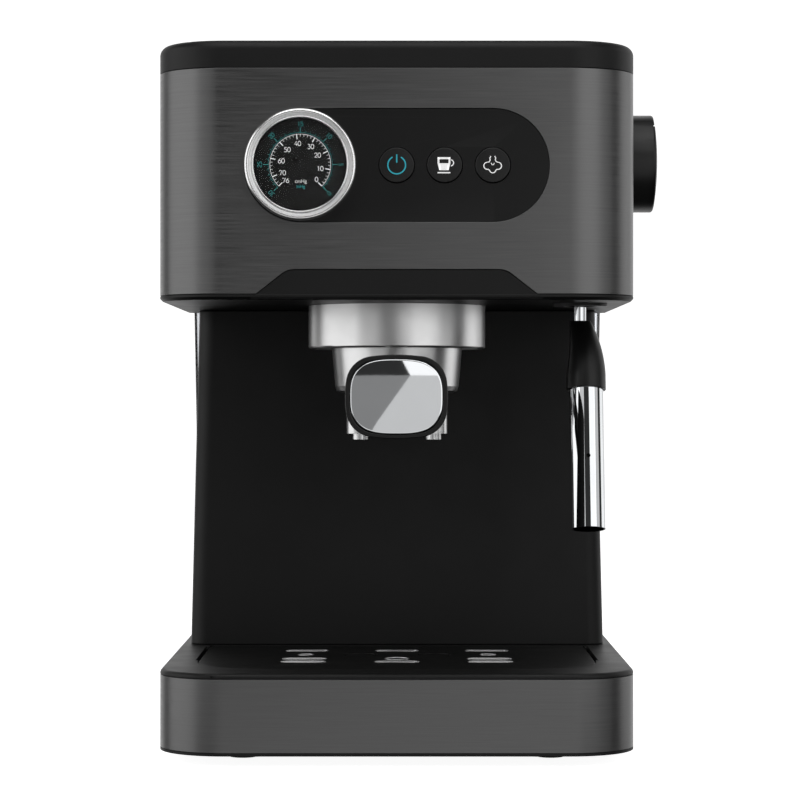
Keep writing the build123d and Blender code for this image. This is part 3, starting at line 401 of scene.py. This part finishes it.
class Print:
    """Ink drawn on a plane that faces the viewer, in millimetres from a centre point."""

    LIFT = 0.012  # ink's top above the face
    THICKNESS = 0.01

    def __init__(self, centre_x, centre_z, face_y):
        self.work = bmesh.new()
        self.x, self.z, self.y = centre_x, centre_z, face_y - self.LIFT * MM

    def place(self, u, v):
        return Vector((self.x + u * MM, self.y, self.z + v * MM))

    def ribbon(self, points, width):
        """Line of even width through the points."""
        rims = []
        for i, (u, v) in enumerate(points):
            before, after = neighbours(points, i, closed=False)
            along = Vector((after[0] - before[0], after[1] - before[1])).normalized()
            nu, nv = -along.y * width / 2, along.x * width / 2
            edges = [self.place(u + s * nu, v + s * nv) for s in (1, -1)]
            rims.append([self.work.verts.new(edge) for edge in edges])
        for a, b in zip(rims, rims[1:]):
            self.work.faces.new((a[0], a[1], b[1], b[0]))

    def tick(self, angle, inner, outer, width):
        c, s = cos(radians(angle)), sin(radians(angle))
        self.ribbon([(inner * c, inner * s), (outer * c, outer * s)], width)

    def text(self, words, u, v, height, weight):
        """Words centred on a point; height is a digit's, and overprinting gives the weight."""
        curve = bpy.data.curves.new("words", "FONT")
        curve.body = words
        curve.size = height / 0.7
        curve.align_x, curve.align_y = "CENTER", "CENTER"
        thing = bpy.data.objects.new("words", curve)
        flat = thing.to_mesh()
        for du, dv in ((-1, -1), (1, -1), (1, 1), (-1, 1)):
            start = len(self.work.verts)
            self.work.from_mesh(flat)
            self.work.verts.ensure_lookup_table()
            for vertex in self.work.verts[start:]:
                p, q = vertex.co.x + du * weight, vertex.co.y + dv * weight
                vertex.co = self.place(u + p, v + q)
        thing.to_mesh_clear()
        bpy.data.objects.remove(thing)
        bpy.data.curves.remove(curve)

    def number(self, value, u, v, height, weight, turn=0.0):
        """Digits drawn with strokes, centred on a point and turned by some degrees."""
        advance = 0.74 * height
        c, s = cos(radians(turn)), sin(radians(turn))
        for i, digit in enumerate(str(value)):
            left = (i - len(str(value)) / 2) * advance + 0.06 * height
            for points in DIGITS[digit]:
                placed = [(left + p * height, (q - 0.5) * height) for p, q in points]
                turned = [(u + p * c - q * s, v + p * s + q * c) for p, q in placed]
                self.ribbon(turned, weight)

    def finish(self, name, material, body, slot):
        bmesh.ops.recalc_face_normals(self.work, faces=self.work.faces)
        bmesh.ops.solidify(self.work, geom=self.work.faces[:], thickness=self.THICKNESS * MM)
        mesh = bpy.data.meshes.new(name)
        self.work.to_mesh(mesh)
        self.work.free()
        add_piece(name, mesh, material, body)


# Strokes of each digit, one unit high and about 0.62 wide.
DIGITS = {
    "0": [oval(0.31, 0.5, 0.31, 0.5, 0, 360, 28)],
    "1": [[(0.12, 0.92), (0.34, 1.0), (0.34, 0.0)]],
    "2": [oval(0.3, 0.7, 0.27, 0.3, 165, -35, 14) + [(0.04, 0.02), (0.6, 0.02)]],
    "3": [[(0.06, 0.98), (0.55, 0.98), (0.28, 0.6)] + arc(0.28, 0.3, 0.3, 80, -140, 16)],
    "4": [[(0.42, 1.0), (0.02, 0.27), (0.64, 0.27)], [(0.47, 0.55), (0.47, 0.0)]],
    "5": [[(0.55, 0.98), (0.13, 0.98), (0.08, 0.58)] + arc(0.27, 0.31, 0.31, 100, -140, 16)],
    "6": [oval(0.31, 0.31, 0.29, 0.31, 0, 360, 24), [(0.47, 1.0), (0.16, 0.62), (0.04, 0.36)]],
    "7": [[(0.02, 0.8), (0.02, 0.98), (0.58, 0.98), (0.2, 0.0)]],
}

# Both scales run clockwise from the lower left to the lower right. Radii are in millimetres.
SCALE_END, SCALE_SWEEP = -45, 270  # degrees; both scales have their zero at SCALE_END
WHITE_TOP, TEAL_TOP = 76, 30
WHITE_LINE_R, WHITE_TICK_R, WHITE_MAJOR_R, WHITE_MINOR_R = 12.85, 12.8, 10.75, 11.75
TEAL_LINE_R, TEAL_TICK_R, TEAL_MAJOR_R, TEAL_MINOR_R = 13.5, 13.6, 15.7, 14.5
TEAL_NUMBER_R = 17.2

dial_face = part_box("gauge_dial")[0].y
white = Print(GAUGE.x, GAUGE.z, dial_face)
teal = Print(GAUGE.x, GAUGE.z, dial_face)

white.ribbon(arc(0, 0, WHITE_LINE_R, SCALE_END, SCALE_END + SCALE_SWEEP, 120), 0.13)
for value in range(0, WHITE_TOP + 1, 2):
    major = value % 10 == 0 or value == WHITE_TOP
    angle = SCALE_END + value * SCALE_SWEEP / WHITE_TOP
    inner = WHITE_MAJOR_R if major else WHITE_MINOR_R
    white.tick(angle, inner, WHITE_TICK_R, 0.33 if major else 0.12)
for value, u, v in (
    (0, 6.85, -6.3), (10, 8.4, -1.7), (20, 7.3, 3.95), (30, 4.4, 7.6), (40, -1.1, 8.9),
    (50, -5.5, 6.3), (60, -8.0, 1.55), (70, -7.5, -3.5), (76, -6.1, -6.7),
):
    white.number(value, u, v, 1.95, 0.2)
white.text("cmHg", 0.2, -7.1, 1.5, 0.02)

teal.ribbon(arc(0, 0, TEAL_LINE_R, SCALE_END, SCALE_END + SCALE_SWEEP, 120), 0.06)
for value in range(TEAL_TOP + 1):
    major = value % 5 == 0
    angle = SCALE_END + value * SCALE_SWEEP / TEAL_TOP
    outer = TEAL_MAJOR_R if major else TEAL_MINOR_R
    teal.tick(angle, TEAL_TICK_R, outer, 0.13 if major else 0.05)
    if major:
        u, v = TEAL_NUMBER_R * cos(radians(angle)), TEAL_NUMBER_R * sin(radians(angle))
        teal.number(value, u, v, 1.75, 0.11, angle - 90)
teal.text("inHg", 0.2, -9.3, 1.35, 0.02)
white.finish("dial_print_white", DIAL_PAINTED_GLOW_WHITE, "root", "dial_black")
teal.finish("dial_print_teal", DIAL_PAINTED_GLOW_TEAL, "root", "dial_black")


# ---------------------------------------------------------------- button symbols
def symbol(button):
    """Print on a button's face."""
    middle = centre(button)
    return Print(middle.x, middle.z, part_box(button)[0].y)


power = symbol("button_power")
power.ribbon(arc(0, 0, 3.75, 118, 422, 60), 0.55)
power.ribbon([(0, 1.0), (0, 4.5)], 0.55)
power.finish("symbol_power", TEAL_PAINTED_GLOW_INK, "button_power", "button_plastic")

cup = symbol("button_coffee")
for offset in (0.0, 0.42):
    cup.ribbon([(-3.0 + offset, 3.1 - offset), (2.4 - offset, 3.1 - offset)], 0.45)
cup.ribbon([(-0.3, 0.75), (-0.3, -2.2)], 3.9)
cup.ribbon([(-2.65, 3.1), (-2.6, 0.6), (-1.9, -2.0)], 0.8)
cup.ribbon([(2.05, 3.1), (2.0, 0.6), (1.3, -2.0)], 0.8)
cup.ribbon(arc(2.4, 0.9, 1.35, 75, -80, 14), 0.42)
cup.ribbon([(-3.0, -3.25), (2.4, -3.25)], 0.55)
cup.finish("symbol_cup", WHITE_PAINTED_GLOW_INK, "button_coffee", "button_plastic")

steam = symbol("button_steam")
steam.ribbon(
    arc(-2.35, -0.35, 1.5, 95, 285, 16) + arc(-0.1, -1.95, 1.35, 195, 345, 14)
    + arc(2.15, -0.35, 1.5, -105, 85, 16), 0.42,
)
steam.ribbon([(-2.4, 1.15), (-1.6, 1.3), (-1.15, 2.0), (-1.3, 2.9), (-0.85, 3.8)], 0.42)
steam.ribbon([(2.2, 1.15), (1.4, 1.4), (1.0, 2.2), (1.2, 3.0), (0.75, 3.8)], 0.42)
steam.ribbon([(-0.75, 0.9), (-0.4, 0.1), (0.25, 0.1), (0.6, 0.9)], 0.36)
steam.finish("symbol_steam", WHITE_PAINTED_GLOW_INK, "button_steam", "button_plastic")


# ---------------------------------------------------------------- portafilter handle end
CAP_CURVATURE = 168 * MM
CAP_SQUARENESS = 2.9  # 2 would be an ellipse
CAP_STEPS = 144
CAP_FACE_RINGS = 40


def superellipse(half_width, half_height, exponent, count):
    points = []
    for i in range(count):
        a = 2 * pi * i / count
        c, s = cos(a), sin(a)
        points.append((
            half_width * abs(c) ** (2 / exponent) * (1 if c >= 0 else -1),
            half_height * abs(s) ** (2 / exponent) * (1 if s >= 0 else -1),
        ))
    return points


def domed_cap(name, low, high):
    """Polished cap, curved evenly to a radius, that bulges towards the viewer."""
    middle = (low + high) / 2
    edge = superellipse(
        (high.x - low.x) / 2, (high.z - low.z) / 2, CAP_SQUARENESS, CAP_STEPS
    )
    # Each ring's size, and how far it lies behind the dome.
    levels = [(1.0, 0.35 * MM), (0.994, 0.1 * MM)]
    levels += [(0.985 * i / CAP_FACE_RINGS, 0.0) for i in range(CAP_FACE_RINGS, 0, -1)]
    work = bmesh.new()
    rings = [[work.verts.new((middle.x + u, high.y, middle.z + v)) for u, v in edge]]
    for k, behind in levels:
        ring = []
        for u, v in edge:
            dome = (u * u + v * v) * k * k / (2 * CAP_CURVATURE)
            ring.append(work.verts.new((middle.x + u * k, low.y + dome + behind, middle.z + v * k)))
        rings.append(ring)
    for a, b in zip(rings, rings[1:]):
        for i in range(CAP_STEPS):
            j = (i + 1) % CAP_STEPS
            work.faces.new((a[i], a[j], b[j], b[i]))
    tip = work.verts.new((middle.x, low.y, middle.z))
    for i in range(CAP_STEPS):
        work.faces.new((rings[-1][i], rings[-1][(i + 1) % CAP_STEPS], tip))
    work.faces.new(rings[0][::-1])
    bmesh.ops.recalc_face_normals(work, faces=work.faces)
    mesh = mesh_from(name, work, 40)
    add_piece(name, mesh, CHROME, "portafilter", ["handle_cap"])


domed_cap("handle_end_dome", *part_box("handle_cap"))


# ---------------------------------------------------------------- rims of the drip grid
WIRE_R = 0.42  # millimetres, as are the sizes of the openings
WIRE_SINK = 0.12  # the wire's axis lies this far below the grid's top
WIRE_SIDES = 10
SLOT_SIZE = (19.6, 5.0)
SLOT_X = (-41.5, 0, 41.5)
SLOT_Y = (57.5, 71.5, 110.5)
ROUND_HOLES = ((-41.5, 91, 3.5), (41.5, 91, 3.5), (0, 72, 5.4))  # X, Y and radius


def wire_loop(work, points, z):
    """Closed loop of round wire lying flat along the points, given in metres."""
    rings = []
    for i, (x, y) in enumerate(points):
        before, after = neighbours(points, i, closed=True)
        along = Vector((after[0] - before[0], after[1] - before[1], 0)).normalized()
        side, up = Vector((-along.y, along.x, 0)), Vector((0, 0, 1))
        ring = []
        for k in range(WIRE_SIDES):
            a = 2 * pi * k / WIRE_SIDES
            out = (side * cos(a) + up * sin(a)) * WIRE_R * MM
            ring.append(work.verts.new(Vector((x, y, z)) + out))
        rings.append(ring)
    for i, a in enumerate(rings):
        b = rings[(i + 1) % len(rings)]
        for k in range(WIRE_SIDES):
            j = (k + 1) % WIRE_SIDES
            work.faces.new((a[k], a[j], b[j], b[k]))


def stadium(x, y, length, width):
    r = width / 2
    reach = length / 2 - r
    return arc(x + reach, y, r, -90, 90, 12) + arc(x - reach, y, r, 90, 270, 12)


rims = bmesh.new()
loops = [stadium(x, y, *SLOT_SIZE) for x in SLOT_X for y in SLOT_Y if (x, y) != (0, 71.5)]
loops += [arc(x, y, r, 0, 350, 35) for x, y, r in ROUND_HOLES]
wire_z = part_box("drip_grid")[1].z - WIRE_SINK * MM
for loop in loops:
    wire_loop(rims, [(MID_X + x * MM, FRONT_Y + y * MM) for x, y in loop], wire_z)
bmesh.ops.recalc_face_normals(rims, faces=rims.faces)
add_piece("grid_rims", mesh_from("grid_rims", rims, 60), SATIN_METAL, "drip_grid")


# ---------------------------------------------------------------- camera
CAMERA_DISTANCE = 1.155  # from the front face
CAMERA_HEIGHT = 0.1556
CAMERA_SIDE = 0.0014  # to the right of the machine's middle
FOCAL_RATIO = 2730 / 800  # focal length over the width of the image
SENSOR = 36.0

camera_data = bpy.data.cameras.new("camera")
camera = bpy.data.objects.new("camera", camera_data)
bpy.context.scene.collection.objects.link(camera)
camera_data.sensor_width = SENSOR
camera_data.lens = FOCAL_RATIO * SENSOR
camera_data.clip_start = 0.05
camera.location = (MID_X + CAMERA_SIDE, FRONT_Y - CAMERA_DISTANCE, CAMERA_HEIGHT)
camera.rotation_euler = (pi / 2, 0, 0)
bpy.context.scene.camera = camera


# ---------------------------------------------------------------- studio
def area_light(name, azimuth, elevation, distance, size, radiance):
    """Soft box aimed at the machine; azimuth 0 is the camera's side, positive to its right."""
    target = Vector((MID_X, 0, 0.16))
    a, e = radians(azimuth), radians(elevation)
    away = Vector((sin(a) * cos(e), -cos(a) * cos(e), sin(e)))
    data = bpy.data.lights.new(name, "AREA")
    data.shape = "RECTANGLE"
    data.size, data.size_y = size
    data.energy = radiance * pi * size[0] * size[1]
    light = bpy.data.objects.new(name, data)
    bpy.context.scene.collection.objects.link(light)
    light.location = target + away * distance
    light.rotation_euler = away.to_track_quat("Z", "Y").to_euler()
    light.visible_camera = False


for name, azimuth, elevation, distance, size, radiance in (
    ("softbox_left", -82, 12, 1.7, (2.0, 1.8), 1.2),
    ("softbox_left_front", -38, 10, 1.9, (1.2, 1.6), 0.6),
    ("softbox_right", 36, 14, 1.8, (1.2, 1.6), 1.15),
    ("softbox_right_side", 66, 12, 1.8, (0.8, 1.6), 0.55),
    ("softbox_right_back", 112, 12, 1.7, (0.9, 1.6), 1.0),
    ("softbox_top", 0, 78, 1.6, (1.6, 1.2), 1.2),
    ("softbox_top_front", 0, 52, 1.8, (1.6, 1.3), 1.2),
):
    area_light(name, azimuth, elevation, distance, size, radiance)


def glowing(name, grey, glow):
    """Paper or cloth that gives light of its own."""
    s = Surface(name, Specular_IOR_Level=0.1, Emission_Color=(1, 1, 1, 1), Emission_Strength=glow)
    pale, paler = srgb(grey), srgb(grey + 6)
    s.colour(s.blend(s.span(s.noise(3), 0, 1), pale, paler))
    s.roughness(s.span(s.noise(20), 0.7, 0.8))
    return s.material


def add_stage(name, build, material, unseen_by):
    """Studio piece; build(work) makes its mesh, and unseen_by names the rays that miss it."""
    work = bmesh.new()
    build(work)
    thing = bpy.data.objects.new(name, mesh_from(name, work))
    bpy.context.scene.collection.objects.link(thing)
    thing.data.materials.append(material)
    for ray in unseen_by:
        setattr(thing, "visible_" + ray, False)


def sheet(corners):
    """Maker of a flat piece from its corners."""
    return lambda work: work.faces.new([work.verts.new(corner) for corner in corners])


add_stage(
    "floor",
    lambda work: bmesh.ops.create_circle(work, cap_ends=True, segments=96, radius=6.0),
    glowing("floor_paper", 235, 0.93),
    ("diffuse", "glossy"),
)
add_stage(
    "backdrop",
    lambda work: bmesh.ops.create_uvsphere(work, u_segments=64, v_segments=32, radius=6.1),
    glowing("backdrop_paper", 245, 1.1),
    ("diffuse", "glossy", "shadow"),
)

# Flats behind the camera, seen only as reflections: X across and Z up, from the machine's middle.
WALL_Y = FRONT_Y - 1.43
CORNER = (0.099, 0.315)
for name, outline, radiance in (
    ("flat_white", [(0.0, 0.5), CORNER, (0.5, 0.315), (0.5, 0.5)], 1.15),
    ("flat_light", [CORNER, (-0.14, -0.02), (-0.2, -0.12), (0.5, -0.12), (0.5, 0.315)], 0.62),
    ("flat_grey", [CORNER, (-0.45, 0.315), (-0.45, -0.12), (-0.2, -0.12), (-0.14, -0.02)], 0.24),
    ("flat_low", [(-0.6, -0.12), (0.6, -0.12), (0.6, -0.8), (-0.6, -0.8)], 0.75),
):
    corners = [(MID_X + x, WALL_Y, z) for x, z in outline]
    unseen_by = ("camera", "diffuse", "shadow")
    add_stage(name, sheet(corners), glowing(name, 10, radiance), unseen_by)

# Black flag beside the frother, for the dark line down its polished sleeve.
FLAG_X = MID_X + 0.064
FLAG_OUTLINE = ((-0.012, 0.094), (0.020, 0.094), (0.024, 0.166), (-0.012, 0.166))
add_stage(
    "flag",
    sheet([(FLAG_X, FRONT_Y + y, z) for y, z in FLAG_OUTLINE]),
    glowing("flag_cloth", 8, 0.0),
    ("camera", "diffuse"),
)

# The room is dark in front of the machine and white behind it.
world = bpy.data.worlds.new("studio")
bpy.context.scene.world = world
world.use_nodes = True
tree = world.node_tree
direction = tree.nodes.new("ShaderNodeTexCoord").outputs["Generated"]
split = tree.nodes.new("ShaderNodeSeparateXYZ")
tree.links.new(direction, split.inputs["Vector"])
ramp = tree.nodes.new("ShaderNodeValToRGB")
ramp.color_ramp.elements[0].position = 0.78
ramp.color_ramp.elements[0].color = (0.03, 0.03, 0.03, 1)
ramp.color_ramp.elements[1].position = 0.92
ramp.color_ramp.elements[1].color = (1.0, 1.0, 1.0, 1)
to_back = tree.nodes.new("ShaderNodeMapRange")
to_back.inputs["From Min"].default_value = -1
tree.links.new(split.outputs["Y"], to_back.inputs["Value"])
tree.links.new(to_back.outputs["Result"], ramp.inputs["Fac"])
tree.links.new(ramp.outputs["Color"], tree.nodes["Background"].inputs["Color"])
bpy.context.scene.view_settings.view_transform = "Standard"
